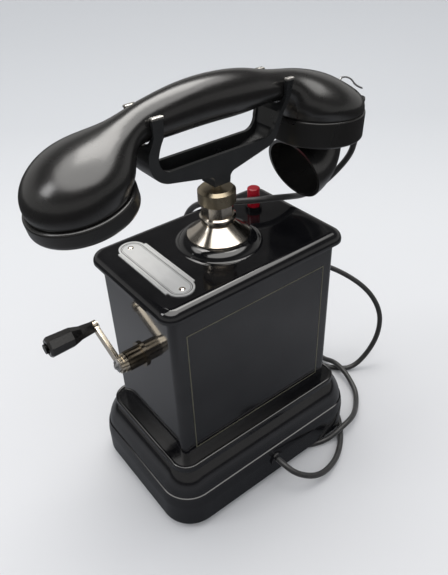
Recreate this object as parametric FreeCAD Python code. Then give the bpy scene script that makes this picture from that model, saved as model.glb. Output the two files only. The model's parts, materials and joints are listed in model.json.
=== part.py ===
import FreeCAD, Part
import math
import os

# A magneto table telephone: moulded plinth, sheet case with lid, sprung cradle, lift-off
# handset, crank generator, polarised ringer and hook switch. Millimetres. Origin on the table
# under the middle of the case, +Z up, +X towards the mouthpiece end, crank on the -X side.

V = FreeCAD.Vector
X_AXIS = V(1, 0, 0)
Y_AXIS = V(0, 1, 0)
Z_AXIS = V(0, 0, 1)

# Fits and clearances
running = 0.06
moving_gap = 0.35
seat_gap = 0.15

# Case
case_length = 144.0
case_depth = 88.4
case_corner = 5.0
case_sheet = 1.2
case_foot = 59.6
case_top = 193.6
case_flange = 11.0
flange_sheet = 1.5
line_inset = 10.8
line_low = 66.4
line_high = 174.4
line_width = 0.8
line_proud = 0.12

# Plinth
plinth_flare = 19.2
plinth_wall = 3.2
rim_height = 5.4
skirt_top = 25.0
crease_flare = 17.4
crease_height = 35.1
shoulder_flare = 14.3
shoulder_height = 45.75
cove_flare = 8.9
cove_top = 55.0
bead_radius = 1.5
bead_flare = 7.4
bead_drop = 1.2
deck_sheet = 3.6
deck_opening_x = 46.0
deck_opening_y = 26.0
foot_radius = 9.0
foot_inset = 16.5
foot_corner = 1.5

# Bottom plate
bottom_sheet = 1.6
bottom_recess = 3.0
bottom_gap = 0.4
boss_radius = 5.0

# Lid
lid_overhang = 5.8
lid_underside = 191.8
lid_top = 200.6
lid_edge = 2.6
lid_pillow = 8.0
lid_sheet = 3.0
dome_foot = 31.5
dome_shoulder = 28.9
dome_top_radius = 22.6
dome_height = 5.9

# Column
flange_radius = 22.0
flange_rim = 1.2
neck_radius = 11.6
neck_height = 9.2
groove_radius = 11.0
groove_height = 2.6
collar_radius = 12.6
collar_height = 3.2
waist_facets = 8
waist_radius = 11.3
waist_height = 9.0
cap_radius = 13.0
cap_height = 10.6
cap_chamfer = 2.0
cap_roof = 2.4
guide_outer = 5.5
guide_bore = 4.4
guide_bearing = 4.0
guide_drop = 11.0
spring_wire = 0.7
spring_turns = 9

# Cradle
stem_radius = 3.0
stem_nib = 1.2
stem_shoulder = 1.4
stem_drop = 10.0
stem_show = 3.9
boss_half = 6.4
boss_height = 3.4
keel_half = 9.5
keel_rise = 8.3
prong_rise = 6.9
prong_spans = ((-52.4, -45.2), (47.2, 52.4))
channel_drop = 28.4
cradle_sheet = 2.6
cradle_floor = 3.2
vee_low_half = 7.0
vee_high_half = 15.4
vee_reach = 62.0
stem_socket = 6.4
tip_height = 1.6
tip_margin = 0.3
hook_travel = 6.0
prong_gap = 0.6

# Handset
handle_rise = 51.4
handle_half_width = 11.8
handle_half_height = 10.1
handle_crown = 4.5
handle_crown_x = -6.0
handle_crown_span = 54.0
handle_swell = 1.6
handle_straight = 44.0
ear_x = -95.9
ear_drop = 29.6
ear_tilt = 10.2
ear_radius = 31.1
ear_cap_radius = 33.4
ear_cap_height = 12.7
mouth_x = 90.9
mouth_drop = 23.7
mouth_tilt = -2.7
mouth_radius = 32.6
mouth_cap_radius = 33.5
mouth_cap_height = 19.1
cap_wall = 2.6
joint_groove = 0.8
capsule_radius = 25.0
capsule_depth = 11.0
pocket_clearance = 0.8
horn_pivot_x = 63.0
horn_rim_radius = 26.0
horn_rim_near = 0.6
horn_rim_far = 47.8
horn_rim_angle = 73.7
horn_neck_near = 13.0
horn_neck_far = 46.0
horn_wall = 2.2

# Crank
crank_height = 135.5
crank_bush_radius = 7.4
crank_bush_length = 11.5
crank_seat_radius = 9.6
crank_seat = 1.6
crank_shaft_radius = 3.5
arm_sleeve = 2.55
arm_length = 35.6
arm_angle = 22.5
arm_thickness = 3.0
arm_hub_radius = 6.2
arm_eye_radius = 4.4
grip_length = 36.0
grip_neck_radius = 4.4
grip_radius = 8.0
grip_pin_radius = 2.0
grip_facets = 8

# Push button
button_inset = 24.0
button_y = 19.0
button_radius = 4.8
button_rise = 17.4
button_bush_radius = 6.4
button_bush_height = 3.0
bush_sleeve = 5.75
button_travel = 3.0
button_stem_radius = 2.0

# Generator
gear_module = 1.2
drive_teeth = 40
pinion_teeth = 10
gear_width = 4.0
armature_radius = 14.0
armature_length = 50.0
pole_bore_gap = 0.6
pole_half_width = 23.0
magnet_thick = 8.0
magnet_width = 15.0
magnet_gap = 2.0
magnet_count = 3
magnet_room = 4.1
plate_sheet = 2.4
chassis_sheet = 2.0
generator_inset = 22.0

# Ringer
ringer_inset = 24.0
gong_radius = 16.5
gong_sheet = 1.3
gong_spread = 22.0
gong_rim = 141.0
coil_spread = 13.0
coil_radius = 9.0
coil_height = 44.0
coil_core = 3.5
ball_radius = 3.6
clapper_pivot = 119.0

# Cord
cord_diameter = 4.8
gland_length = 12.0
gland_flange = 2.2
gland_radius = 4.0

# Nameplate
plate_inset = 19.0
plate_half_length = 38.6
plate_half_width = 11.2
plate_end_radius = 9.4
plate_sheet_height = 0.9
rivet_spread = 31.3
rivet_head = 2.2
rivet_pin = 1.15
rivet_depth = 1.0

# Pivots of the two housings
ear_pivot_x = -56.0
mouth_pivot_x = 50.0

# Armature shaft and generator screws
armature_shaft_radius = 3.0
generator_shank = 1.2

# Hook switch and button contacts
lever_pivot_x = 24.0
lever_drop = 24.6
lever_thick = 3.0
lever_half = 3.0
bracket_y = -8.0
stack_x0 = 50.0
stack_x1 = 58.0
blade_sheet = 0.5
blade_drop = 18.8
blade_step = 4.0
button_blade_drops = (19.2, 23.2)
bracket_run = 14.0
bracket_sheet = 2.0
bracket_drop = 26.6
clamp_length = 6.0

# Induction coil and condenser
coil_inset = 15.0
coil_end_gap = 11.2
core_radius = 5.0
core_show = 3.0
cheek_sheet = 3.0
condenser_length = 22.0
condenser_half = 24.0
condenser_drop = 20.0

# Cord hole
hole_x = 2.0
hole_z = 21.5
grommet_radius = 5.0

# Derived places
corner_x = case_length / 2 - case_corner
corner_y = case_depth / 2 - case_corner
plinth_x = case_length / 2 + plinth_flare
plinth_y = case_depth / 2 + plinth_flare
chassis_floor = case_foot + flange_sheet
chassis_top = chassis_floor + chassis_sheet
dome_top = lid_top + dome_height
neck_top = dome_top + flange_rim + neck_height
groove_top = neck_top + groove_height
collar_top = groove_top + collar_height
waist_top = collar_top + waist_height
column_top = waist_top + cap_height
boss_foot = column_top + stem_show
keel_low = boss_foot + keel_rise
handle_height = boss_foot + handle_rise
prong_top = handle_height + prong_rise
ear_z = handle_height - ear_drop
mouth_z = handle_height - mouth_drop
crank_plane = case_length / 2 + crank_seat + crank_bush_length + moving_gap + arm_sleeve
generator_start = generator_inset - case_length / 2
ringer_x = case_length / 2 - ringer_inset
button_x = case_length / 2 - button_inset
button_top = lid_top + button_rise
button_blades = [lid_top - drop for drop in button_blade_drops]
bracket_low = lid_top - bracket_drop
lever_pivot_z = lid_top - lever_drop
blade_low = lid_top - blade_drop
plate_x = plate_inset - case_length / 2
stem_foot = lid_top - guide_drop - stem_drop
spring_top = column_top - cap_roof - hook_travel - 0.5 - stem_shoulder
centre_distance = gear_module * (drive_teeth + pinion_teeth) / 2
armature_height = crank_height - centre_distance


def export(name, shape):
    shape.exportStep("parts/" + name + ".step")


def cylinder(radius, start, length, axis=Z_AXIS):
    return Part.makeCylinder(radius, length, start, axis)


def tube(outer, inner, start, length, axis=Z_AXIS):
    return cylinder(outer, start, length, axis).cut(cylinder(inner, start, length, axis))


def box(x0, x1, y0, y1, z0, z1):
    return Part.makeBox(x1 - x0, y1 - y0, z1 - z0, V(x0, y0, z0))


def fuse(shapes):
    return shapes[0].multiFuse(shapes[1:]).removeSplitter()


def line(a, b):
    return Part.LineSegment(a, b).toShape()


def arc(a, via, b):
    return Part.Arc(a, via, b).toShape()


def outline(steps):
    """Closed face from points; a pair (via, end) is an arc, a single point a straight line."""
    edges = []
    at = steps[0]
    for step in steps[1:] + [steps[0]]:
        if isinstance(step, tuple):
            edges.append(arc(at, step[0], step[1]))
            at = step[1]
        elif (step - at).Length > 1e-6:
            edges.append(line(at, step))
            at = step
    return Part.Face(Part.Wire(edges))


def turned(points, centre=V(0, 0, 0)):
    """Solid of revolution about a vertical axis from (radius, z) points and arcs."""
    def spot(p):
        return V(p[0], 0, p[1])
    steps = []
    for p in points:
        if isinstance(p[0], tuple):
            steps.append((spot(p[0]), spot(p[1])))
        else:
            steps.append(spot(p))
    solid = outline(steps).revolve(V(0, 0, 0), Z_AXIS, 360)
    solid.translate(centre)
    return solid


def framed(points):
    """Carry a (distance, z) profile round the rounded rectangle of the case corners."""
    def spot(p):
        return V(p[0], 0, p[1])
    steps = []
    for p in points:
        if isinstance(p[0], tuple):
            steps.append((spot(p[0]), spot(p[1])))
        else:
            steps.append(spot(p))
    face = outline(steps)
    corner = face.revolve(V(0, 0, 0), Z_AXIS, 90)
    side_y = face.extrude(V(0, -2 * corner_y, 0))
    end = face.copy()
    end.rotate(V(0, 0, 0), Z_AXIS, 90)
    side_x = end.extrude(V(2 * corner_x, 0, 0))
    pieces = []
    for turn, at in ((0, (1, 1)), (90, (-1, 1)), (180, (-1, -1)), (270, (1, -1))):
        quarter = corner.copy()
        quarter.rotate(V(0, 0, 0), Z_AXIS, turn)
        quarter.translate(V(at[0] * corner_x, at[1] * corner_y, 0))
        pieces.append(quarter)
    for turn in (0, 180):
        flank = side_y.copy()
        flank.translate(V(corner_x, corner_y, 0))
        flank.rotate(V(0, 0, 0), Z_AXIS, turn)
        pieces.append(flank)
        flank = side_x.copy()
        flank.translate(V(-corner_x, corner_y, 0))
        flank.rotate(V(0, 0, 0), Z_AXIS, turn)
        pieces.append(flank)
    return pieces


def slab(grow, z0, z1):
    """Rounded rectangle block that stands out from the case corners' centres by grow."""
    block = fuse([
        box(-corner_x - grow, corner_x + grow, -corner_y, corner_y, z0, z1),
        box(-corner_x, corner_x, -corner_y - grow, corner_y + grow, z0, z1),
    ] + [
        cylinder(grow, V(sx * corner_x, sy * corner_y, z0), z1 - z0)
        for sx in (-1, 1) for sy in (-1, 1)
    ])
    return block


def screw(at, head_radius, head_height, shank_radius, shank_length, axis=Z_AXIS):
    """Cheese-head screw; the shank runs along axis from the underside of the head."""
    head = cylinder(head_radius, at - axis * head_height, head_height, axis)
    shank = cylinder(shank_radius, at, shank_length, axis)
    body = head.fuse(shank).removeSplitter()
    side = X_AXIS if abs(axis.x) < 0.5 else Y_AXIS
    cross = axis.cross(side)
    slot_depth = head_height * 0.45
    corner = at - axis * head_height - side * head_radius - cross * (head_radius * 0.14)
    slot = Part.Face(Part.makePolygon([
        corner,
        corner + side * head_radius * 2,
        corner + side * head_radius * 2 + cross * head_radius * 0.28,
        corner + cross * head_radius * 0.28,
        corner,
    ])).extrude(axis * slot_depth)
    return body.cut(slot)


def corners(x, y):
    return [V(sx * x, sy * y, 0) for sx in (-1, 1) for sy in (-1, 1)]


# Base body: plinth, bottom plate, feet

screw_x = plinth_x - foot_inset
screw_y = plinth_y - foot_inset
boss_places = corners(screw_x, screw_y)
bottom_z = rim_height + bottom_recess
boss_foot_z = bottom_z + bottom_sheet
deck_under = case_foot - deck_sheet
hole_radius = cord_diameter / 2


def plinth():
    c = case_corner
    outer = c + plinth_flare
    bead_z = case_foot - bead_drop
    profile = [
        (0, deck_under), (c + 5.4, deck_under), (outer - plinth_wall - 5.0, crease_height + 1.0),
        (outer - plinth_wall, hole_z + 7.5), (outer - plinth_wall, rim_height),
        (outer - 0.8, rim_height),
        ((outer - 0.23, rim_height + 0.23), (outer, rim_height + 0.8)),
        (outer, skirt_top),
        ((outer - 0.5, skirt_top + 5.0), (c + crease_flare + 0.4, crease_height - 0.3)),
        (c + crease_flare - 0.4, crease_height),
        ((c + shoulder_flare, shoulder_height), (c + cove_flare, cove_top)),
        (c + bead_flare + bead_radius, bead_z),
        ((c + bead_flare, bead_z + bead_radius), (c + bead_flare - bead_radius, bead_z)),
        (c + seat_gap, bead_z), (c + seat_gap, case_foot), (0, case_foot),
    ]
    body = framed(profile)
    deck = box(-corner_x, corner_x, -corner_y, corner_y, deck_under, case_foot)
    body = fuse(body + [deck])
    body = body.cut(box(-deck_opening_x, deck_opening_x, -deck_opening_y, deck_opening_y,
                        deck_under - 1, case_foot + 1))
    for place in boss_places:
        boss = cylinder(boss_radius, place + V(0, 0, boss_foot_z), skirt_top + 6 - boss_foot_z)
        web_x = box(min(place.x, math.copysign(plinth_x - 2, place.x)),
                    max(place.x, math.copysign(plinth_x - 2, place.x)),
                    place.y - 1.5, place.y + 1.5, boss_foot_z + 2, skirt_top)
        body = body.fuse(boss).fuse(web_x)
        body = body.cut(cylinder(1.7, place + V(0, 0, boss_foot_z - 1), 13))
    body = body.cut(cylinder(grommet_radius, V(hole_x, -plinth_y - 1, hole_z), 8, Y_AXIS))
    for place in case_screw_places:
        body = body.cut(cylinder(2.2, place + V(0, 0, deck_under - 1), deck_sheet + 2))
    return body.removeSplitter()


case_screw_places = corners(case_length / 2 - 9.5, case_depth / 2 - 9.5)


def bottom_plate():
    inset = plinth_wall + bottom_gap
    plate = slab(case_corner + plinth_flare - inset, bottom_z, bottom_z + bottom_sheet)
    for place in boss_places:
        plate = plate.cut(cylinder(1.9, place + V(0, 0, bottom_z - 1), bottom_sheet + 2))
    return plate


def feet():
    pads = []
    for place in boss_places:
        pad = turned([
            (0, 0), (foot_radius - foot_corner, 0),
            ((foot_radius - 0.44, 0.44), (foot_radius, foot_corner)),
            (foot_radius, rim_height), (foot_radius - 1.0, bottom_z), (0, bottom_z),
        ], place)
        pads.append(pad.cut(cylinder(3.6, place + V(0, 0, -1), 4.4)).cut(
            cylinder(1.8, place + V(0, 0, 0), bottom_z + 1)))
    return Part.makeCompound(pads)


def foot_screws():
    return Part.makeCompound([
        screw(place + V(0, 0, 3.4), 3.2, 1.8, 1.6, 16.0) for place in boss_places])


def cord_grommet():
    y = -plinth_y
    flange = tube(grommet_radius + 1.6, hole_radius, V(hole_x, y - 1.4, hole_z), 1.4, Y_AXIS)
    sleeve = tube(grommet_radius - 0.02, hole_radius, V(hole_x, y, hole_z), plinth_wall, Y_AXIS)
    inner = tube(grommet_radius + 1.2, hole_radius, V(hole_x, y + plinth_wall, hole_z), 1.2, Y_AXIS)
    return fuse([flange, sleeve, inner])


# Base body: case, gold line, lid, nameplate, column

def case_shell():
    body = slab(case_corner, case_foot, case_top)
    hollow = slab(case_corner - case_sheet, case_foot + flange_sheet, case_top + 1)
    mouth = box(-case_length / 2 + case_flange, case_length / 2 - case_flange,
                -case_depth / 2 + case_flange, case_depth / 2 - case_flange,
                case_foot - 1, case_foot + flange_sheet + 1)
    body = body.cut(hollow).cut(mouth)
    body = body.cut(cylinder(crank_bush_radius - 2.0, V(-case_length / 2 - 1, 0, crank_height),
                             case_sheet + 2, X_AXIS))
    for place in case_screw_places:
        body = body.cut(cylinder(2.2, place + V(0, 0, case_foot - 1), flange_sheet + 2))
    return body


def case_lines():
    frames = []
    reach = case_length / 2 - line_inset
    for side in (-1, 1):
        face_y = side * case_depth / 2
        y0 = min(face_y, face_y + side * line_proud)
        y1 = max(face_y, face_y + side * line_proud)
        ring = box(-reach, reach, y0, y1, line_low, line_high)
        ring = ring.cut(box(-reach + line_width, reach - line_width, y0 - 1, y1 + 1,
                            line_low + line_width, line_high - line_width))
        frames.append(ring)
    return Part.makeCompound(frames)


def lid():
    c = case_corner
    edge = c + lid_overhang
    lip = c + seat_gap
    profile = [
        (0, lid_top), (edge - lid_pillow, lid_top),
        ((edge - 2.2, lid_top - 2.0), (edge, lid_underside + lid_edge)),
        (edge, lid_underside + 0.8),
        ((edge - 0.23, lid_underside + 0.23), (edge - 0.8, lid_underside)),
        (lip, lid_underside), (lip, case_top), (2.6, case_top), (2.6, lid_top - lid_sheet),
        (0, lid_top - lid_sheet),
    ]
    body = framed(profile)
    panel = box(-corner_x, corner_x, -corner_y, corner_y, lid_top - lid_sheet, lid_top)
    dome = turned([
        (0, lid_top - lid_sheet), (dome_foot, lid_top - lid_sheet), (dome_foot, lid_top),
        ((dome_shoulder + 0.9, lid_top + 0.4), (dome_shoulder, lid_top + 1.4)),
        ((dome_shoulder - 2.6, lid_top + 4.4), (dome_top_radius, dome_top)),
        (0, dome_top),
    ])
    body = fuse(body + [panel, dome])
    body = body.cut(cylinder(guide_outer + 0.1, V(0, 0, lid_top - 10), 30))
    body = body.cut(cylinder(bush_sleeve, V(button_x, button_y, lid_top - 10), 30))
    for side in (-1, 1):
        body = body.cut(cylinder(rivet_pin, V(plate_x, side * rivet_spread,
                                              lid_top - rivet_depth), 5))
    return body


def nameplate():
    z0 = lid_top
    z1 = lid_top + plate_sheet_height
    straight = plate_half_length - plate_end_radius
    blank = fuse([
        box(plate_x - plate_half_width, plate_x + plate_half_width, -straight, straight, z0, z1),
        cylinder(plate_end_radius, V(plate_x, straight, z0), plate_sheet_height),
        cylinder(plate_end_radius, V(plate_x, -straight, z0), plate_sheet_height),
    ])
    rim = 0.9
    field = fuse([
        box(plate_x - plate_end_radius + rim, plate_x + plate_end_radius - rim,
            -straight, straight, z1 - 0.35, z1 + 1),
        cylinder(plate_end_radius - rim, V(plate_x, straight, z1 - 0.35), 2),
        cylinder(plate_end_radius - rim, V(plate_x, -straight, z1 - 0.35), 2),
    ])
    plate = blank.cut(field)
    for side in (-1, 1):
        x = plate_x + side * (plate_half_width - 1.4)
        plate = plate.cut(box(min(x, x + side * 0.5), max(x, x + side * 0.5),
                              -straight + 1.5, straight - 1.5, z1 - 0.35, z1 + 1))
        plate = plate.cut(cylinder(1.2, V(plate_x, side * rivet_spread, z0 - 1), 4))
    return plate


def nameplate_rivets():
    z1 = lid_top + plate_sheet_height - 0.35
    dome = (rivet_head ** 2 + 1.0) / 2
    half = rivet_head / 2
    pins = []
    for side in (-1, 1):
        pins.append(turned([
            (0, lid_top - rivet_depth), (rivet_pin, lid_top - rivet_depth), (rivet_pin, z1),
            (rivet_head, z1),
            ((half, z1 + 1.0 - dome + math.sqrt(dome ** 2 - half ** 2)), (0, z1 + 1.0)),
        ], V(plate_x, side * rivet_spread, 0)))
    return Part.makeCompound(pins)


def column_flange():
    z = dome_top
    return turned([
        (guide_outer, z), (flange_radius, z), (flange_radius, z + flange_rim),
        ((17.6, z + 4.6), (neck_radius, neck_top - 0.4)), (neck_radius, neck_top),
        (guide_outer, neck_top),
    ])


def column_waist():
    ring = turned([
        (guide_outer, neck_top), (groove_radius, neck_top), (groove_radius, groove_top),
        (collar_radius, groove_top + 0.9), (collar_radius, collar_top - 1.0),
        (waist_radius + 0.2, collar_top), (guide_outer, collar_top),
    ])
    rise = waist_top - collar_top
    prism = Part.Face(Part.makePolygon([
        V(waist_radius * math.cos(math.radians(360 * (i + 0.5) / waist_facets)),
          waist_radius * math.sin(math.radians(360 * (i + 0.5) / waist_facets)), collar_top)
        for i in range(waist_facets + 1)])).extrude(V(0, 0, rise))
    prism = prism.cut(cylinder(guide_outer, V(0, 0, collar_top - 1), rise + 2))
    return ring.fuse(prism).removeSplitter()


def column_cap():
    z = waist_top
    bore = stem_radius + running
    return turned([
        (guide_outer, z), (cap_radius - 0.3, z), (cap_radius, z + 0.5),
        (cap_radius, column_top - cap_chamfer),
        (cap_radius - cap_chamfer, column_top), (bore, column_top),
        (bore, column_top - cap_roof), (guide_outer, column_top - cap_roof),
    ])


def column_guide():
    low = lid_top - guide_drop
    body = tube(guide_outer, guide_bore, V(0, 0, low), column_top - cap_roof - low)
    bearing = tube(guide_bore, stem_radius + running, V(0, 0, low), guide_bearing)
    nut = tube(guide_outer + 3.5, guide_outer, V(0, 0, lid_top - lid_sheet - 3.0), 3.0)
    return fuse([body, bearing, nut])


def lift_spring():
    low = lid_top - guide_drop + guide_bearing
    radius = (stem_radius + guide_bore) / 2
    pitch = (spring_top - low - spring_wire) / spring_turns
    helix = Part.makeHelix(pitch, pitch * spring_turns, radius)
    section = Part.Wire([Part.Circle(V(radius, 0, 0), Y_AXIS, spring_wire / 2).toShape()])
    coil = Part.Wire(helix).makePipeShell([section], True, True)
    coil.translate(V(0, 0, low + spring_wire / 2))
    return coil


# Cradle body

def vee(z0, z1, trim=0.0):
    """Tapered block along X, narrow at the keel and wide at the prongs."""
    slope = (vee_high_half - vee_low_half) / (prong_top - boss_foot)

    def half(z):
        return vee_low_half + slope * (z - boss_foot) - trim
    face = Part.Face(Part.makePolygon([
        V(-vee_reach, -half(z0), z0), V(-vee_reach, half(z0), z0), V(-vee_reach, half(z1), z1),
        V(-vee_reach, -half(z1), z1), V(-vee_reach, -half(z0), z0)]))
    return face.extrude(V(2 * vee_reach, 0, 0))


def side_view(points):
    """Face in the XZ plane from (x, depth below the handle's axis) points and arcs."""
    def spot(p):
        return V(p[0], 0, handle_height - p[1])
    steps = []
    for p in points:
        if isinstance(p[0], tuple):
            steps.append((spot(p[0]), spot(p[1])))
        else:
            steps.append(spot(p))
    return outline(steps)


def cradle_back():
    """Outer edge of the cradle from the top of the right prong round to the left one."""
    keel = handle_rise - keel_rise
    shoulder = handle_rise - boss_height
    right_outer = prong_spans[1][1]
    left_outer = prong_spans[0][0]
    return [
        (right_outer, -prong_rise), (right_outer - 0.6, 0.6),
        ((right_outer - 1.6, 7.1), (right_outer - 4.8, 12.6)), (44.6, 24.6),
        ((42.2, 31.4), (36.9, 35.4)), (keel_half, keel),
        ((boss_half + 0.9, keel + 1.4), (boss_half, shoulder)), (boss_half, handle_rise),
        (-boss_half, handle_rise), (-boss_half, shoulder),
        ((-boss_half - 0.9, keel + 1.4), (-keel_half, keel)), (-41.0, 36.4),
        ((-50.8, 30.2), (-54.9, 20.1)), ((-55.0, 13.6), (left_outer - 0.6, 8.1)),
        (left_outer + 0.8, 3.0), (left_outer, -prong_rise),
    ]


def cradle_plates():
    """Side outline of the two plates, with the gap that the handle looks through."""
    right_inner = prong_spans[1][0]
    left_inner = prong_spans[0][1]
    return side_view(cradle_back() + [
        (left_inner, -prong_rise), (left_inner + 0.3, 4.9), ((-47.4, 11.4), (-48.5, 17.6)),
        ((-46.0, 24.9), (-40.5, channel_drop)), (32.5, channel_drop),
        ((38.6, 25.4), (41.3, 19.6)), (44.2, 11.6),
        ((right_inner - 0.3, 6.1), (right_inner + 0.2, 0.6)), (right_inner, -prong_rise),
    ])


def cradle_saddle():
    """Floor and end walls between the two plates."""
    low = handle_rise - keel_rise - cradle_floor + 1.0
    return side_view(cradle_back() + [
        (prong_spans[0][0] + cradle_floor, -prong_rise), (-48.6, 3.0), (-50.0, 9.0),
        ((-51.8, 14.2), (-51.7, 19.8)), ((-48.3, 28.2), (-39.8, 33.2)), (-keel_half, low),
        (keel_half, low), (35.4, 32.2), ((39.6, 29.4), (41.4, 23.9)), (44.4, 13.4),
        ((47.8, 7.6), (48.6, 0.6)), (prong_spans[1][1] - cradle_floor, -prong_rise),
    ])


def cradle():
    high = prong_top + 1
    low = boss_foot - 1
    depth = 2 * vee_high_half + 10
    bodies = []
    for face in (cradle_plates(), cradle_saddle()):
        face.translate(V(0, -depth / 2, 0))
        bodies.append(face.extrude(V(0, depth, 0)))
    walls = bodies[0].common(vee(low, high)).cut(vee(keel_low + cradle_floor, high, cradle_sheet))
    below_axis = box(-vee_reach, vee_reach, -depth, depth, low, handle_height)
    saddle = bodies[1].common(vee(low, high, 0.5)).common(below_axis)
    body = walls.fuse(saddle).cut(handle_prism(moving_gap, prong_gap))
    body = body.cut(cylinder(stem_radius, V(0, 0, boss_foot - 1), stem_socket + 1))
    return body.removeSplitter()


def handle_prism(low_gap, side_gap):
    """Room that the handle needs between the prongs, as a closed block along X."""
    half_w = handle_half_width + side_gap
    half_h = handle_half_height + low_gap
    face = Part.Face(ring_wire(oval(V(-vee_reach, 0, handle_height), Z_AXIS, half_h, half_w)))
    return face.extrude(V(2 * vee_reach, 0, 0))


def oval(centre, up, half_up, half_y, count=16):
    """Poles of a closed smooth elliptical section: half_up along up, half_y along Y."""
    swell = 1 / (2 / 3 + math.cos(2 * math.pi / count) / 3)
    poles = []
    for i in range(count):
        a = 2 * math.pi * i / count
        poles.append(centre + up * (half_up * swell * math.cos(a))
                     + Y_AXIS * (half_y * swell * math.sin(a)))
    return poles


def ring_wire(poles):
    curve = Part.BSplineCurve()
    curve.buildFromPoles(poles, True, 3)
    return Part.Wire([curve.toShape()])


def skin(rings):
    """Closed solid whose smooth wall runs through every section, with flat ends."""
    count = len(rings[0])
    params = [0.0]
    for before, after in zip(rings, rings[1:]):
        step = sum((q - p).Length for p, q in zip(before, after)) / count
        params.append(params[-1] + step)
    tracks = []
    for i in range(count):
        track = Part.BSplineCurve()
        track.interpolate([ring[i] for ring in rings], Parameters=params)
        tracks.append(track)
    surface = Part.BSplineSurface()
    surface.buildFromPolesMultsKnots(
        [track.getPoles() for track in tracks],
        [1] * (count + 1), tracks[0].getMultiplicities(),
        [float(i) for i in range(count + 1)], tracks[0].getKnots(),
        True, False, 3, 3)
    wall = surface.toShape()
    ends = [Part.Face(Part.Wire([surface.vIso(v).toShape()])) for v in (params[0], params[-1])]
    shell = Part.makeCompound([wall] + ends)
    shell.sewShape()
    solid = Part.makeSolid(Part.Shell(shell.Faces))
    if solid.Volume < 0:
        solid.reverse()
    return solid


def prong_tips():
    tips = []
    slope = (vee_high_half - vee_low_half) / (prong_top - boss_foot)
    for x0, x1 in prong_spans:
        for side in (-1, 1):
            y1 = side * (vee_high_half + slope + 0.1)
            y0 = side * (vee_high_half - cradle_sheet - 0.2)
            tip = box(x0 - tip_margin, x1 + tip_margin, min(y0, y1), max(y0, y1),
                      prong_top, prong_top + tip_height)
            tips.append(tip.makeFillet(0.7, [e for e in tip.Edges
                                             if e.CenterOfMass.z > prong_top + tip_height - 0.1]))
    return Part.makeCompound(tips)


def cradle_stem():
    nib = Part.makeCone(stem_nib, stem_radius, stem_radius - stem_nib, V(0, 0, stem_foot))
    foot = stem_foot + stem_radius - stem_nib
    rod = cylinder(stem_radius, V(0, 0, foot), boss_foot + stem_socket - foot)
    collar = tube(stem_radius + 1.1, stem_radius, V(0, 0, boss_foot - 2.2), 2.2)
    shoulder = tube(guide_bore - 0.3, stem_radius, V(0, 0, spring_top), stem_shoulder)
    return fuse([nib, rod, collar, shoulder])


# Handset body

def fan(centre_x, centre_z, toward, angle, near, far, half_y, count=16):
    """Section in the plane through a pivot, turned up by angle; near and far from the pivot."""
    a = math.radians(angle)
    out = V(toward * math.cos(a), 0, math.sin(a))
    middle = V(centre_x, 0, centre_z) + out * ((near + far) / 2)
    return oval(middle, out, (far - near) / 2, half_y, count)


def handle_section(x):
    """Section of the handle, flat below and arched on top, wider between the prongs."""
    rise = handle_crown * max(0.0, 1 - ((x - handle_crown_x) / handle_crown_span) ** 2)
    swell = handle_swell * max(0.0, 1 - (x / handle_straight) ** 2)
    return oval(V(x, 0, handle_height + rise), Z_AXIS, handle_half_height + rise,
                handle_half_width + swell)


ear_pivot_z = ear_z + (ear_pivot_x - ear_x) * math.tan(math.radians(ear_tilt))
mouth_pivot_z = mouth_z + (mouth_x - mouth_pivot_x) * math.tan(math.radians(-mouth_tilt))
ear_arm = math.hypot(ear_pivot_x - ear_x, ear_pivot_z - ear_z)
mouth_arm = math.hypot(mouth_pivot_x - mouth_x, mouth_pivot_z - mouth_z)


def handset_shell():
    sections = [
        fan(ear_pivot_x, ear_pivot_z, -1, -ear_tilt, ear_arm - ear_radius,
            ear_arm + ear_radius, ear_radius),
        fan(ear_pivot_x, ear_pivot_z, -1, 1.0, 8.0, 70.6, 32.0),
        fan(ear_pivot_x, ear_pivot_z, -1, 12.0, 7.4, 62.5, 31.0),
        fan(ear_pivot_x, ear_pivot_z, -1, 25.0, 7.2, 51.0, 27.4),
        fan(ear_pivot_x, ear_pivot_z, -1, 42.0, 7.6, 39.2, 21.6),
        fan(ear_pivot_x, ear_pivot_z, -1, 64.0, 9.2, 32.6, 15.4),
    ] + [handle_section(x) for x in (
        ear_pivot_x, -handle_straight, -handle_straight * 0.6, 0, handle_straight * 0.6,
        mouth_pivot_x)] + [
        fan(mouth_pivot_x, mouth_pivot_z, 1, 62.0, 9.4, 33.0, 15.2),
        fan(mouth_pivot_x, mouth_pivot_z, 1, 40.0, 8.0, 39.6, 22.6),
        fan(mouth_pivot_x, mouth_pivot_z, 1, 23.0, 7.6, 50.6, 28.6),
        fan(mouth_pivot_x, mouth_pivot_z, 1, 11.0, 7.8, 62.0, 32.4),
        fan(mouth_pivot_x, mouth_pivot_z, 1, 2.5, 8.0, 71.5, 33.2),
        fan(mouth_pivot_x, mouth_pivot_z, 1, mouth_tilt, mouth_arm - mouth_radius,
            mouth_arm + mouth_radius, mouth_radius),
    ]
    shell = skin(sections)
    for place, radius in ((to_ear, ear_radius), (to_mouth, mouth_radius)):
        pocket = cylinder(capsule_radius + pocket_clearance, V(0, 0, -capsule_depth - 1.5),
                          capsule_depth + 3)
        shell = shell.cut(place(pocket))
    return shell


def tipped(shape, x, z, tilt):
    """Stand a shape drawn with +Z out of a housing on that housing's open end."""
    moved = shape.copy()
    moved.rotate(V(0, 0, 0), Y_AXIS, 180 - tilt)
    moved.translate(V(x, 0, z))
    return moved


def to_ear(shape):
    return tipped(shape, ear_x, ear_z, ear_tilt)


def to_mouth(shape):
    return tipped(shape, mouth_x, mouth_z, mouth_tilt)


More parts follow.
